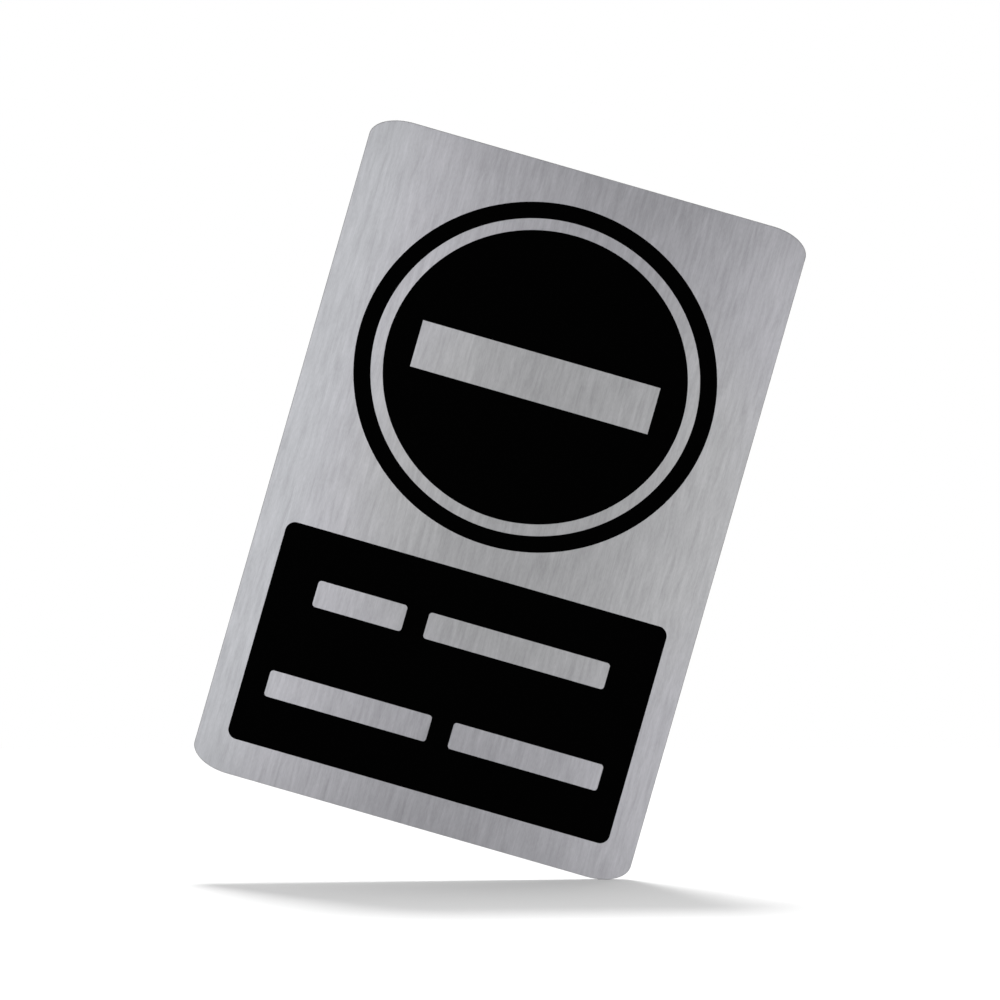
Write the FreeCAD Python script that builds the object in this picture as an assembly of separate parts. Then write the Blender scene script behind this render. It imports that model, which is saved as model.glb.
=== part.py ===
import FreeCAD, Part
import os
from math import pi

from FreeCAD import Vector

# No entry sign: a flat brushed aluminium plate that carries its symbol and its legend panel in
# cut black film. The plate stands upright and faces -Y. X runs across it, Z runs up it, and the
# origin is the centre of its back face, which lies on the wall. Lengths are in millimetres.

# The plate. Its corners are quarter ovals, wider than they are high.
PLATE_WIDTH = 200.0
PLATE_HEIGHT = 300.0
PLATE_THICKNESS = 1.5
PLATE_CORNER_ACROSS = 17.4
PLATE_CORNER_UP = 9.8
ARRIS_RADIUS = 0.2

# The film, and the bare metal that it leaves at the plate's ends and sides.
FILM_THICKNESS = 0.1
END_MARGIN = 15.75
SIDE_MARGIN = 12.65

# The symbol: a ring, a gap and a disc, all stretched sideways by the same share. Their sizes are
# half heights. The disc has the no entry bar cut out of it.
SYMBOL_STRETCH = 1.037
RING_OUTSIDE = 77.6
RING_INSIDE = 70.3
DISC_OUTSIDE = 65.1
BAR_WIDTH = 108.9
BAR_HEIGHT = 21.3

# The legend panel: plain word bars, cut out of it in two rows, stand where the words would be.
# Each row lists the lengths of its bars from left to right.
PANEL_HEIGHT = 99.9
PANEL_CORNER = 4.4
WORD_ROWS = ((40.8, 82.9), (74.1, 68.6))
WORD_HEIGHT = 12.0
WORD_CORNER = 1.5
WORD_GAP = 10.0
ROW_SPACING = 44.0

# Heights above the plate's centre, worked out from the margins.
SYMBOL_LEVEL = PLATE_HEIGHT / 2 - END_MARGIN - RING_OUTSIDE
PANEL_LEVEL = -PLATE_HEIGHT / 2 + END_MARGIN + PANEL_HEIGHT / 2
PANEL_WIDTH = PLATE_WIDTH - 2 * SIDE_MARGIN

# Outlines are drawn flat, with X across the sign, Y up it and Z out towards the reader.
OUT = Vector(0, 0, 1)
ACROSS = Vector(1, 0, 0)


def oval(centre, half_width, half_height):
    """Curve of an oval at least as wide as it is high."""
    if half_width == half_height:
        return Part.Circle(centre, OUT, half_width)
    return Part.Ellipse(centre, half_width, half_height)


def oval_outline(half_height, level):
    """Closed outline of one of the symbol's ovals, stretched sideways."""
    centre = Vector(0, level, 0)
    return Part.Wire([oval(centre, half_height * SYMBOL_STRETCH, half_height).toShape()])


def square_outline(width, height, level):
    """Closed outline of a rectangle with sharp corners, on the sign's middle line."""
    corners = [
        Vector(side * width / 2, level + end * height / 2, 0)
        for side, end in ((1, 1), (-1, 1), (-1, -1), (1, -1), (1, 1))
    ]
    return Part.makePolygon(corners)


def rounded_outline(width, height, corner_across, corner_up, centre=Vector(0, 0, 0)):
    """Closed outline of a rectangle whose corners are quarter ovals."""
    quarters = []
    for turn, (side, end) in enumerate(((1, 1), (-1, 1), (-1, -1), (1, -1))):
        pivot = centre + Vector(
            side * (width / 2 - corner_across), end * (height / 2 - corner_up), 0
        )
        curve = oval(pivot, corner_across, corner_up)
        quarters.append(curve.toShape(turn * pi / 2, (turn + 1) * pi / 2))
    edges = []
    for quarter, following in zip(quarters, quarters[1:] + quarters[:1]):
        edges.append(quarter)
        edges.append(
            Part.makeLine(
                quarter.valueAt(quarter.LastParameter),
                following.valueAt(following.FirstParameter),
            )
        )
    return Part.Wire(edges)


def sheet(outline, windows, base, thickness):
    """Solid of a flat sheet with windows through it, whose back lies at height base."""
    face = Part.makeFace([outline, *windows], "Part::FaceMakerBullseye")
    face.translate(OUT * base)
    return face.extrude(OUT * thickness)


def film(outline, windows=()):
    """Solid of film stuck on the plate's front face."""
    return sheet(outline, windows, PLATE_THICKNESS, FILM_THICKNESS)


def sign_plate():
    """The aluminium plate, with the arrises of its cut edge rounded off."""
    outline = rounded_outline(
        PLATE_WIDTH, PLATE_HEIGHT, PLATE_CORNER_ACROSS, PLATE_CORNER_UP
    )
    plate = sheet(outline, (), 0, PLATE_THICKNESS)
    arrises = [edge for edge in plate.Edges if edge.BoundBox.ZLength < ARRIS_RADIUS]
    return plate.makeFillet(ARRIS_RADIUS, arrises)


def symbol_ring():
    """The symbol's outer ring."""
    return film(
        oval_outline(RING_OUTSIDE, SYMBOL_LEVEL),
        [oval_outline(RING_INSIDE, SYMBOL_LEVEL)],
    )


def symbol_disc():
    """The symbol's disc, with the bar open to the metal."""
    return film(
        oval_outline(DISC_OUTSIDE, SYMBOL_LEVEL),
        [square_outline(BAR_WIDTH, BAR_HEIGHT, SYMBOL_LEVEL)],
    )


def word_windows():
    """Outlines of the word bars, in rows that are centred on the panel's middle line."""
    windows = []
    for row, lengths in enumerate(WORD_ROWS):
        level = PANEL_LEVEL + ROW_SPACING * ((len(WORD_ROWS) - 1) / 2 - row)
        left = -(sum(lengths) + WORD_GAP * (len(lengths) - 1)) / 2
        for length in lengths:
            centre = Vector(left + length / 2, level, 0)
            windows.append(
                rounded_outline(length, WORD_HEIGHT, WORD_CORNER, WORD_CORNER, centre)
            )
            left += length + WORD_GAP
    return windows


def legend_panel():
    """The black panel below the symbol."""
    outline = rounded_outline(
        PANEL_WIDTH, PANEL_HEIGHT, PANEL_CORNER, PANEL_CORNER, Vector(0, PANEL_LEVEL, 0)
    )
    return film(outline, word_windows())


def stand_up(shape):
    """Turns a piece upright: up the flat drawing becomes +Z, and out of it becomes -Y."""
    shape.rotate(Vector(0, 0, 0), ACROSS, 90)
    return shape


def main():
    """Builds the pieces and writes each to a file of its own."""
    os.makedirs("parts", exist_ok=True)
    pieces = {
        "sign_plate": sign_plate(),
        "symbol_ring": symbol_ring(),
        "symbol_disc": symbol_disc(),
        "legend_panel": legend_panel(),
    }
    for name, shape in pieces.items():
        stand_up(shape).exportStep(f"parts/{name}.step")


main()
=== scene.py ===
"""Looks of the no entry sign: its brushed plate and black film, and the studio that shows them.

The frame's X runs across the sign, Z runs up it, and its face looks along -Y. Lengths are in metres.
"""

import logging
import math
from dataclasses import dataclass, field
from enum import Enum
from typing import Union

import bpy
import numpy as np
from mathutils import Matrix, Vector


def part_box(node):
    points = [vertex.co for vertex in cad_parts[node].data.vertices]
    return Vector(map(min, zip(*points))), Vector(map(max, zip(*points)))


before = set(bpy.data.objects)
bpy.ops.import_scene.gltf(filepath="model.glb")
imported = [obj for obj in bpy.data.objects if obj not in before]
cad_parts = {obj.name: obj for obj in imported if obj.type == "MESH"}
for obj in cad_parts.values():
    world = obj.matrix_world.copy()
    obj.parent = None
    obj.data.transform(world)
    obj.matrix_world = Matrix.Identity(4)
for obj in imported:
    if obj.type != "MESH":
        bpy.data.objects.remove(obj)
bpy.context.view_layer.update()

MM = 0.001
WHITE = (1.0, 1.0, 1.0)
LOG = logging.getLogger("no_entry_sign")

# Directions in the frame.
LEFT = (-1.0, 0.0, 0.0)
TO_READER = (0.0, -1.0, 0.0)
UPWARDS = (0.0, 0.0, 1.0)

# Places of a Mix node's colour inputs and of its colour output. Other sockets of it have the same names.
MIX_FIRST = 6
MIX_SECOND = 7
MIX_RESULT = 2

# Mean of a noise node's output.
NOISE_MEAN = 0.5

# How far apart in their noise the kinds of line in one grain start, so that no two of them match.
KIND_STEP = 7.3

# A colour is red, green and blue. A triple is X, Y and Z. A value is whatever a node's input takes.
Colour = tuple[float, float, float]
Triple = tuple[float, float, float]
Value = Union["Signal", float, tuple]


class Blend(Enum):
    """How a Mix node joins two colours."""

    MIX = "MIX"
    MULTIPLY = "MULTIPLY"


class Run(Enum):
    """Which way a face's lines run. The value marks those of X, Y and Z that they are drawn out along."""

    UP = (False, False, True)
    ROUND = (True, False, True)


class Signal:
    """One output socket of a shader. Arithmetic on it adds Math nodes."""

    def __init__(self, shader: "Shader", socket: bpy.types.NodeSocket) -> None:
        """Wraps a socket of the shader."""
        self.shader = shader
        self.socket = socket

    def _maths(self, operation: str, first: Value, second: Value) -> "Signal":
        """Adds a Math node for one operation on two values."""
        return self.shader.node("ShaderNodeMath", {"operation": operation}, {0: first, 1: second})

    def __add__(self, other: Value) -> "Signal":
        """Sum."""
        return self._maths("ADD", self, other)

    def __radd__(self, other: Value) -> "Signal":
        """Sum, with the number first."""
        return self._maths("ADD", other, self)

    def __sub__(self, other: Value) -> "Signal":
        """Difference."""
        return self._maths("SUBTRACT", self, other)

    def __rsub__(self, other: Value) -> "Signal":
        """Difference, with the number first."""
        return self._maths("SUBTRACT", other, self)

    def __mul__(self, other: Value) -> "Signal":
        """Product."""
        return self._maths("MULTIPLY", self, other)

    def __rmul__(self, other: Value) -> "Signal":
        """Product, with the number first."""
        return self._maths("MULTIPLY", other, self)


class Shader:
    """The node tree of a material or a world, which starts with its output node alone."""

    def __init__(self, owner: Union[bpy.types.Material, bpy.types.World], output: str) -> None:
        """Empties the owner's tree.

        Args:
            owner: the material or world.
            output: type of its output node.
        """
        owner.use_nodes = True
        self.tree = owner.node_tree
        self.tree.nodes.clear()
        self.end = self.tree.nodes.new(output)

    def node(
        self,
        kind: str,
        settings: dict[str, object],
        inputs: dict[Union[str, int], Value],
        output: Union[str, int] = 0,
    ) -> Signal:
        """Adds a node.

        Args:
            kind: the node's type.
            settings: its properties, which are set first.
            inputs: a value or a signal for each socket, by name or place.
            output: which of its outputs is wanted, by name or place.

        Returns:
            That output.
        """
        made = self.tree.nodes.new(kind)
        for name, setting in settings.items():
            setattr(made, name, setting)
        for key, value in inputs.items():
            socket = made.inputs[key]
            if isinstance(value, Signal):
                self.tree.links.new(value.socket, socket)
            elif socket.type == "RGBA":
                socket.default_value = (*value, 1.0)
            else:
                socket.default_value = value
        return Signal(self, made.outputs[output])

    def finish(self, surface: Signal) -> None:
        """Joins the surface to the output node."""
        self.tree.links.new(surface.socket, self.end.inputs["Surface"])

    def place(self) -> Signal:
        """Object coordinates, which are the frame's own."""
        return self.node("ShaderNodeTexCoord", {}, {}, "Object")

    def along(self, vector: Value, direction: Triple) -> Signal:
        """How far a vector reaches along a direction."""
        operation = {"operation": "DOT_PRODUCT"}
        return self.node("ShaderNodeVectorMath", operation, {0: vector, 1: direction}, "Value")

    def scaled(self, vector: Value, scale: Triple, start: Value) -> Signal:
        """A vector times a scale on each axis, plus a start."""
        operation = {"operation": "MULTIPLY_ADD"}
        return self.node("ShaderNodeVectorMath", operation, {0: vector, 1: scale, 2: start})

    def counted(self, vector: Value, unit: float) -> Signal:
        """A vector counted in units of a length."""
        return self.node("ShaderNodeVectorMath", {"operation": "SCALE"}, {0: vector, "Scale": 1 / unit})

    def rise(self, value: Value, start: float, end: float) -> Signal:
        """Smooth step: 0 up to start, 1 from end on."""
        sockets = {"Value": value, "From Min": start, "From Max": end}
        return self.node("ShaderNodeMapRange", {"interpolation_type": "SMOOTHSTEP"}, sockets)

    def colours(self, blend: Blend, factor: Value, first: Value, second: Value) -> Signal:
        """Mixes two colours.

        Args:
            blend: how they are joined.
            factor: share of the second, from 0 to 1.
            first: first colour.
            second: second colour, or a number that stands for a grey.

        Returns:
            The mixed colour.
        """
        settings = {"data_type": "RGBA", "blend_type": blend.value}
        sockets = {"Factor": factor, MIX_FIRST: first, MIX_SECOND: second}
        return self.node("ShaderNodeMix", settings, sockets, MIX_RESULT)

    def noise(self, vector: Value) -> Signal:
        """Smooth noise with one bump to a unit, less its mean, so that it lies about 0."""
        sockets = {"Vector": vector, "Scale": 1.0, "Detail": 0.0}
        return self.node("ShaderNodeTexNoise", {}, sockets) - NOISE_MEAN

    def bump(self, height: Signal) -> Signal:
        """Normals of a surface that stands up by a height in metres."""
        return self.node("ShaderNodeBump", {}, {"Height": height, "Distance": 1.0, "Strength": 1.0})


@dataclass(frozen=True)
class Lines:
    """One kind of line.

    Attributes:
        width: how wide the lines are.
        length: how far they run on.
        strength: how far they lighten and darken the metal.
    """

    width: float
    length: float
    strength: float


@dataclass(frozen=True)
class Grain:
    """The lines that brushing, rolling or cutting leaves in metal.

    Attributes:
        run: which way the lines run.
        kinds: the kinds of line that lie over each other.
        start: where the pattern starts, so that no two grains share it.
        roughening: how far lines of strength 1 change the roughness.
        depth: how deep lines of strength 1 are cut.
        wander: how far the lines leave their straight course.
        bend: how far apart their bends are.
    """

    run: Run
    kinds: tuple[Lines, ...]
    start: float
    roughening: float
    depth: float
    wander: float
    bend: float

    def lines(self, shader: Shader, place: Signal) -> Signal:
        """Lays the kinds over each other.

        Each kind is a noise that is drawn out: its place is the surface's, divided by the line's
        length on the axes that the lines follow and by its width on the others. A broad noise has
        shifted that place a little first, so that the lines bend. The kinds' sum is about 0.

        Args:
            shader: where the nodes go.
            place: the surface's coordinates.

        Returns:
            The sum of all kinds.
        """
        broad = {"Vector": place, "Scale": 1 / self.bend, "Detail": 0.0}
        shift = shader.node("ShaderNodeTexNoise", {}, broad, "Color")
        course = shader.scaled(shift, (self.wander,) * 3, place)
        total = 0.0
        for number, kind in enumerate(self.kinds):
            stretch = tuple(1 / (kind.length if drawn else kind.width) for drawn in self.run.value)
            start = self.start + KIND_STEP * number
            drawn_out = shader.scaled(course, stretch, (start, -start, start))
            total = shader.noise(drawn_out) * kind.strength + total
        return total


@dataclass(frozen=True)
class Cast:
    """The metal's colour, with a painted cast of the light: a little bluer away from an oval spot,
    greener at the left.

    Attributes:
        plain: the colour in the spot.
        cool: the colour outside it.
        side: the colour along the left side.
        centre: the spot's centre, across and up.
        reach: the spot's half width and half height.
        start: share of the reach up to which the colour is plain.
        end: share of the reach from which it is cool.
        side_start: how far left of the middle the side's colour starts.
        side_end: how far left it is reached.
    """

    plain: Colour = (0.3905, 0.3905, 0.401)
    cool: Colour = (0.392, 0.389, 0.414)
    side: Colour = (0.387, 0.391, 0.411)
    centre: tuple[float, float] = (25 * MM, 11 * MM)
    reach: tuple[float, float] = (95 * MM, 98 * MM)
    start: float = 0.7
    end: float = 1.2
    side_start: float = 64 * MM
    side_end: float = 94 * MM

    def colour(self, shader: Shader, place: Signal) -> Signal:
        """Mixes the three colours.

        The distance from the centre is taken in shares of the reach, so that it is 1 on an oval.

        Args:
            shader: where the nodes go.
            place: the surface's coordinates.

        Returns:
            The colour.
        """
        across, up = self.reach
        start = (-self.centre[0] / across, 0.0, -self.centre[1] / up)
        from_centre = shader.scaled(place, (1 / across, 0.0, 1 / up), start)
        distance = shader.node("ShaderNodeVectorMath", {"operation": "LENGTH"}, {0: from_centre}, "Value")
        outside = shader.rise(distance, self.start, self.end)
        spot = shader.colours(Blend.MIX, outside, self.plain, self.cool)
        at_left = shader.rise(shader.along(place, LEFT), self.side_start, self.side_end)
        return shader.colours(Blend.MIX, at_left, spot, self.side)


@dataclass(frozen=True)
class Face:
    """How one face of the plate looks. The lines' own strengths say how far they lighten and darken it.

    Attributes:
        lightness: how light the metal is there, as a share of its own colour; on the edge it also holds
            painted shade.
        roughness: its mean roughness.
        grains: its lines, the coarse ones first.
    """

    lightness: float
    roughness: float
    grains: tuple[Grain, ...]


@dataclass(frozen=True)
class PlateFinish:
    """Aluminium with a brushed front, a cut edge and a back as it left the rolling mill.

    Attributes:
        front: the brushed front.
        edge: the cut edge, which takes in the rounded arrises. Its low lightness is partly duller cut
            metal and partly painted shade along the arrises.
        back: the back.
        cast: the front's colour, with its painted light cast. Its plain colour is that of the edge and
            the back too.
        anisotropy: how far the brushing draws out the highlights.
        fade: the depth over which a face's finish ends at its arris.
    """

    front: Face = Face(
        lightness=1.0,
        roughness=0.30,
        grains=(
            Grain(
                run=Run.UP,
                kinds=(
                    Lines(11.0 * MM, 24 * MM, 0.038),
                    Lines(5.5 * MM, 24 * MM, 0.065),
                    Lines(5.5 * MM, 11 * MM, 0.065),
                    Lines(2.8 * MM, 18 * MM, 0.09),
                    Lines(2.8 * MM, 11 * MM, 0.09),
                    Lines(1.4 * MM, 18 * MM, 0.17),
                    Lines(1.4 * MM, 11 * MM, 0.17),
                    Lines(0.45 * MM, 1.8 * MM, 0.155),
                ),
                start=0.0,
                roughening=0.06,
                depth=0.05 * MM,
                wander=1.2 * MM,
                bend=10 * MM,
            ),
            Grain(
                run=Run.UP,
                kinds=(
                    Lines(0.35 * MM, 14 * MM, 0.05),
                    Lines(0.17 * MM, 20 * MM, 0.11),
                    Lines(0.09 * MM, 14 * MM, 0.18),
                ),
                start=600.0,
                roughening=0.06,
                depth=0.004 * MM,
                wander=0.08 * MM,
                bend=25 * MM,
            ),
        ),
    )
    edge: Face = Face(
        # Half the front's lightness: partly the rougher, duller cut metal, partly painted shade that
        # darkens the arrises into an outline.
        lightness=0.5,
        roughness=0.42,
        grains=(
            Grain(
                run=Run.ROUND,
                kinds=(
                    Lines(0.6 * MM, 20 * MM, 0.2),
                    Lines(0.3 * MM, 12 * MM, 0.2),
                    Lines(0.15 * MM, 8 * MM, 0.2),
                ),
                start=200.0,
                roughening=0.5,
                depth=0.015 * MM,
                wander=0.1 * MM,
                bend=8 * MM,
            ),
        ),
    )
    back: Face = Face(
        lightness=1.12,
        roughness=0.38,
        grains=(
            Grain(
                run=Run.UP,
                kinds=(
                    Lines(5 * MM, 60 * MM, 0.08),
                    Lines(2.5 * MM, 60 * MM, 0.08),
                    Lines(1.2 * MM, 40 * MM, 0.08),
                ),
                start=400.0,
                roughening=0.75,
                depth=0.012 * MM,
                wander=0.45 * MM,
                bend=8 * MM,
            ),
            Grain(
                run=Run.UP,
                kinds=(
                    Lines(0.5 * MM, 45 * MM, 0.1),
                    Lines(0.22 * MM, 30 * MM, 0.14),
                    Lines(0.1 * MM, 18 * MM, 0.16),
                ),
                start=800.0,
                roughening=0.4,
                depth=0.003 * MM,
                wander=0.1 * MM,
                bend=25 * MM,
            ),
        ),
    )
    cast: Cast = Cast()
    anisotropy: float = 0.5
    fade: float = 0.02 * MM

    def material(self, thickness: float) -> bpy.types.Material:
        """Makes the plate's material. How deep a point lies in the plate says which face it is on.

        Args:
            thickness: the plate's thickness.

        Returns:
            The material.
        """
        made = bpy.data.materials.new("brushed_plate")
        shader = Shader(made, "ShaderNodeOutputMaterial")
        place = shader.place()
        depth = shader.along(place, TO_READER)
        on_front = shader.rise(depth, thickness - self.fade, thickness)
        on_back = 1 - shader.rise(depth, 0.0, self.fade)
        on_edge = 1 - on_front - on_back
        lightness, roughness, height = 0.0, 0.0, 0.0
        for face, share in ((self.edge, on_edge), (self.front, on_front), (self.back, on_back)):
            lightness = share * face.lightness + lightness
            roughness = share * face.roughness + roughness
            for grain in face.grains:
                lines = share * grain.lines(shader, place)
                lightness = lines * face.lightness + lightness
                roughness = lines * grain.roughening + roughness
                height = lines * grain.depth + height
        # Painted light cast on the front only; the edge and back keep the plain colour.
        cast = shader.colours(Blend.MIX, on_front, self.cast.plain, self.cast.colour(shader, place))
        metal = {
            "Base Color": shader.colours(Blend.MULTIPLY, 1.0, cast, lightness),
            "Metallic": 1.0,
            "Roughness": roughness,
            "Anisotropic": self.anisotropy,
            "Normal": shader.bump(height),
        }
        shader.finish(shader.node("ShaderNodeBsdfPrincipled", {}, metal))
        return made


@dataclass(frozen=True)
class FilmFinish:
    """Matt black cut film. Its skin is faintly dimpled, and its gloss wanders a little.

    Attributes:
        colour: its own colour.
        roughness: its mean roughness.
        specular: how strongly its skin shines, where 0.5 is a plain plastic.
        dimple: how wide its dimples are.
        dimple_depth: how deep they are.
        cloud: how wide the patches are that differ in gloss.
        clouding: how far their roughness differs.
    """

    colour: Colour = (0.0004, 0.0004, 0.0004)
    roughness: float = 0.48
    specular: float = 0.005
    dimple: float = 0.7 * MM
    dimple_depth: float = 0.0015 * MM
    cloud: float = 30 * MM
    clouding: float = 0.12

    def material(self) -> bpy.types.Material:
        """Makes the film's material.

        Returns:
            The material.
        """
        made = bpy.data.materials.new("black_film")
        shader = Shader(made, "ShaderNodeOutputMaterial")
        place = shader.place()
        dimples = shader.noise(shader.counted(place, self.dimple))
        clouds = shader.noise(shader.counted(place, self.cloud))
        film = {
            "Base Color": shader.colours(Blend.MULTIPLY, 1.0, self.colour, 1 + dimples),
            "Roughness": self.roughness + clouds * self.clouding,
            "Specular IOR Level": self.specular,
            "Normal": shader.bump(dimples * self.dimple_depth),
        }
        shader.finish(shader.node("ShaderNodeBsdfPrincipled", {}, film))
        return made


def dress(name: str, material: bpy.types.Material) -> None:
    """Gives a CAD node its material, and reports it.

    Args:
        name: the node.
        material: what it wears.
    """
    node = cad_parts[name]
    for slot in node.material_slots:
        slot.material = material
    low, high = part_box(name)
    size = (high - low) / MM
    LOG.info("%s: %s, %.1f x %.1f x %.1f mm", name, material.name, *size)


@dataclass
class Plate:
    """The aluminium plate.

    Attributes:
        node: its CAD node.
        finish: how it looks.
    """

    node: str = "sign_plate"
    finish: PlateFinish = field(default_factory=PlateFinish)

    def build(self) -> None:
        """Dresses the plate, whose own thickness places its faces."""
        low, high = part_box(self.node)
        dress(self.node, self.finish.material(high.y - low.y))


@dataclass
class Artwork:
    """The symbol and the legend panel, all cut from one film.

    Attributes:
        nodes: their CAD nodes.
        finish: how the film looks.
    """

    nodes: tuple[str, ...] = ("symbol_ring", "symbol_disc", "legend_panel")
    finish: FilmFinish = field(default_factory=FilmFinish)

    def build(self) -> None:
        """Dresses the film pieces with one material."""
        material = self.finish.material()
        for name in self.nodes:
            dress(name, material)


def normalised(vector: np.ndarray) -> np.ndarray:
    """The same direction, with length 1."""
    return vector / np.linalg.norm(vector)


def stand(name: str, data: bpy.types.ID, axes: np.ndarray, place: np.ndarray) -> bpy.types.Object:
    """Stands a camera or a lamp in the scene.

    Args:
        name: what it is called.
        data: the camera or the lamp.
        axes: rows that its own X, Y and Z run along. It looks or shines against its own Z.
        place: where it stands.

    Returns:
        Its object.
    """
    turned = np.eye(4)
    turned[:3, :3] = axes.T
    turned[:3, 3] = place
    made = bpy.data.objects.new(name, data)
    made.matrix_world = Matrix(turned.tolist())
    bpy.context.scene.collection.objects.link(made)
    return made


@dataclass
class Viewpoint:
    """The camera, which looks at the sign from a little above it and holds it leaning to the right.

    Attributes:
        tilt: how far above the sign's middle it stands, in degrees.
        lean: how far the sign leans clockwise in the picture, in degrees.
        width: how wide the picture is at the sign.
        distance: how far away it stands.
        aim: the point that it looks at, the middle of the plate's front.
    """

    tilt: float = 6.24
    lean: float = 16.03
    width: float = 440.83 * MM
    distance: float = 1.2
    aim: Triple = (0.0, -1.5 * MM, 0.0)

    def axes(self) -> np.ndarray:
        """Works out which way the picture lies.

        Returns:
            Rows that point right, up and out of the picture.
        """
        tilt, lean = math.radians(self.tilt), math.radians(self.lean)
        across = np.array([1.0, 0.0, 0.0])
        upward = np.array([0.0, math.sin(tilt), math.cos(tilt)])
        out = np.array([0.0, -math.cos(tilt), math.sin(tilt)])
        right = math.cos(lean) * across + math.sin(lean) * upward
        up = math.cos(lean) * upward - math.sin(lean) * across
        return np.array([right, up, out])

    def build(self) -> None:
        """Makes the camera."""
        data = bpy.data.cameras.new("camera")
        data.type = "ORTHO"
        data.ortho_scale = self.width
        axes = self.axes()
        place = np.array(self.aim) + self.distance * axes[2]
        bpy.context.scene.camera = stand("camera", data, axes, place)


@dataclass
class Floor:
    """A white floor, level in the picture, that touches the sign's lowest corner.

    Attributes:
        view: the viewpoint that it is level in.
        rise: how steeply the camera looks down on it, in degrees.
        reach: how far it spreads each way.
        albedo: how much of the light it returns.
    """

    view: Viewpoint
    rise: float = 5.5
    reach: float = 0.6
    albedo: float = 0.72

    def axes(self) -> np.ndarray:
        """Works out which way the floor lies.

        Returns:
            Rows that point along it to the picture's right, along it away from the reader, and up.
        """
        right, up, out = self.view.axes()
        rise = math.radians(self.rise)
        normal = math.cos(rise) * up + math.sin(rise) * out
        return np.array([right, np.cross(normal, right), normal])

    def contact(self) -> np.ndarray:
        """Finds where the sign touches the floor.

        Returns:
            The point of the plate that lies lowest along the floor's normal.
        """
        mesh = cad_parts["sign_plate"].data
        points = np.empty(len(mesh.vertices) * 3, np.float32)
        mesh.vertices.foreach_get("co", points)
        points = points.reshape(-1, 3)
        return points[np.argmin(points @ self.axes()[2])]

    def surface(self) -> np.ndarray:
        """Works out its corners: the contact, plus a times the way right and b times the way away.

        Both a and b are the reach, with either sign.

        Returns:
            The four corners, row by row.
        """
        right, away, _ = self.axes()
        a, b = np.meshgrid((-self.reach, self.reach), (-self.reach, self.reach))
        steps = a[..., None] * right + b[..., None] * away
        return (self.contact() + steps).reshape(-1, 3)

    def material(self) -> bpy.types.Material:
        """Makes a white that keeps shadows. Only the camera sees it, and only from above.

        All other rays pass on to the white room, so the metal reflects that on every side.

        Returns:
            The material.
        """
        made = bpy.data.materials.new("white_floor")
        shader = Shader(made, "ShaderNodeOutputMaterial")
        for_camera = shader.node("ShaderNodeLightPath", {}, {}, "Is Camera Ray")
        below = shader.node("ShaderNodeNewGeometry", {}, {}, "Backfacing")
        clear = shader.node("ShaderNodeBsdfTransparent", {}, {})
        white = shader.node("ShaderNodeBsdfDiffuse", {}, {"Color": (self.albedo,) * 3})
        seen = for_camera * (1 - below)
        shader.finish(shader.node("ShaderNodeMixShader", {}, {"Fac": seen, 1: clear, 2: white}))
        return made

    def build(self) -> None:
        """Makes the floor, as one face whose corners go round so that it faces up."""
        mesh = bpy.data.meshes.new("floor")
        mesh.from_pydata(self.surface().tolist(), [], [(0, 1, 3, 2)])
        mesh.materials.append(self.material())
        floor = bpy.data.objects.new("floor", mesh)
        bpy.context.scene.collection.objects.link(floor)


@dataclass
class SoftPanel:
    """A soft lamp.

    Attributes:
        name: what it is called.
        place: where it stands.
        size: how wide and how high it is.
        radiance: how bright it is, where 1 is white.
        faces: the point that it faces.
    """

    name: str
    place: Triple
    size: tuple[float, float]
    radiance: float
    faces: Triple

    def build(self) -> None:
        """Makes the lamp. An even panel gives off its radiance times pi times its area, in watts."""
        data = bpy.data.lights.new(self.name, "AREA")
        data.shape = "RECTANGLE"
        data.size, data.size_y = self.size
        data.energy = self.radiance * math.pi * self.size[0] * self.size[1]
        place = np.array(self.place)
        back = normalised(place - np.array(self.faces))
        across = normalised(np.cross(UPWARDS, back))
        stand(self.name, data, np.array([across, np.cross(back, across), back]), place)


@dataclass
class SoftKey:
    """A soft light above the sign and a little behind it, which throws its shadow forwards.

    Attributes:
        floor: the floor that the shadow falls on.
        climb: how far above the floor the light stands, in degrees.
        spread: how wide it is, in degrees, which softens the shadow's edge.
        strength: how bright it alone makes a white floor, where 1 is white.
    """

    floor: Floor
    climb: float = 62.1
    spread: float = 13.0
    strength: float = 0.62

    def build(self) -> None:
        """Makes the light. The floor gets the sine of the climb as a share of its full strength."""
        climb = math.radians(self.climb)
        data = bpy.data.lights.new("soft_key", "SUN")
        data.angle = math.radians(self.spread)
        data.energy = self.strength * math.pi / math.sin(climb)
        right, away, normal = self.floor.axes()
        back = math.cos(climb) * away + math.sin(climb) * normal
        axes = np.array([right, np.cross(back, right), back])
        stand("soft_key", data, axes, self.floor.contact() + back)


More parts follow.
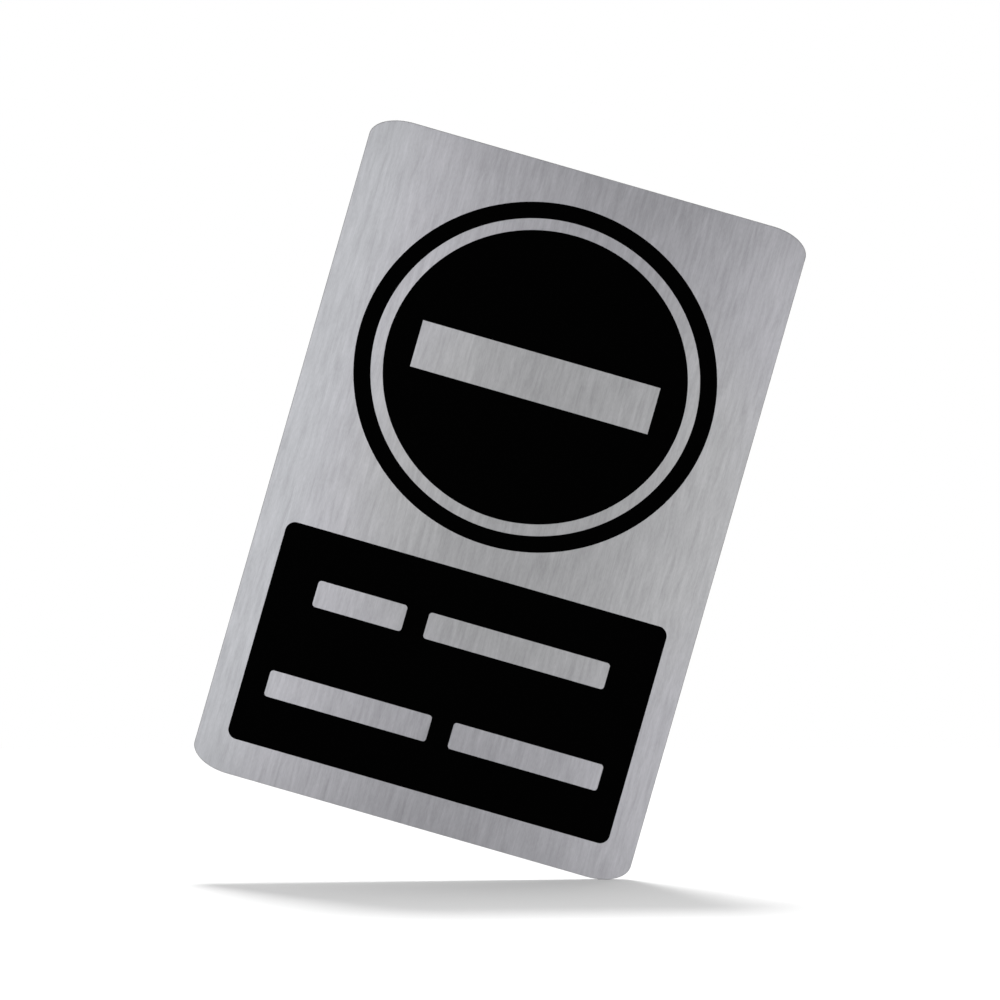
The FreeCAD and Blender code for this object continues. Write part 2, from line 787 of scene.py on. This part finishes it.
@dataclass
class Room:
    """The white room round the sign. It is dimmer towards the reader, which light and reflections see.

    Attributes:
        reader_side: how bright the reader's side is, where 1 is white.
        core: half angle of the dim patch, in degrees.
        rim: half angle at which it has faded out, in degrees.
    """

    reader_side: float = 0.5
    core: float = 35.0
    rim: float = 70.0

    def build(self) -> None:
        """Makes the world. To the camera it is white all round."""
        world = bpy.data.worlds.new("room")
        bpy.context.scene.world = world
        shader = Shader(world, "ShaderNodeOutputWorld")
        direction = shader.node("ShaderNodeTexCoord", {}, {}, "Generated")
        facing = shader.along(direction, TO_READER)
        dim = shader.rise(facing, math.cos(math.radians(self.rim)), math.cos(math.radians(self.core)))
        for_camera = shader.node("ShaderNodeLightPath", {}, {}, "Is Camera Ray")
        strength = 1 - dim * (1 - for_camera) * (1 - self.reader_side)
        shader.finish(shader.node("ShaderNodeBackground", {}, {"Color": WHITE, "Strength": strength}))


@dataclass
class Studio:
    """The room, its lamps, the floor and the camera.

    Attributes:
        view: the camera.
        room: the white room.
        panels: the soft lamps in front of the sign.
    """

    view: Viewpoint = field(default_factory=Viewpoint)
    room: Room = field(default_factory=Room)
    panels: tuple[SoftPanel, ...] = (
        SoftPanel(
            name="left_panel",
            place=(-112 * MM, -333 * MM, -35 * MM),
            size=(111 * MM, 346 * MM),
            radiance=1.49,
            faces=(0.0, 0.0, -35 * MM),
        ),
        SoftPanel(
            name="right_panel",
            place=(119 * MM, -320 * MM, -36 * MM),
            size=(56 * MM, 332 * MM),
            radiance=1.91,
            faces=(0.0, 0.0, -36 * MM),
        ),
    )

    def build(self) -> None:
        """Sets up the studio."""
        bpy.context.scene.view_settings.view_transform = "Standard"
        self.room.build()
        for panel in self.panels:
            panel.build()
        self.view.build()
        floor = Floor(self.view)
        floor.build()
        SoftKey(floor).build()


def main() -> None:
    """Dresses the sign and sets up the studio."""
    logging.basicConfig(level=logging.INFO, format="%(message)s")
    Plate().build()
    Artwork().build()
    Studio().build()


if __name__ == "__main__":
    main()
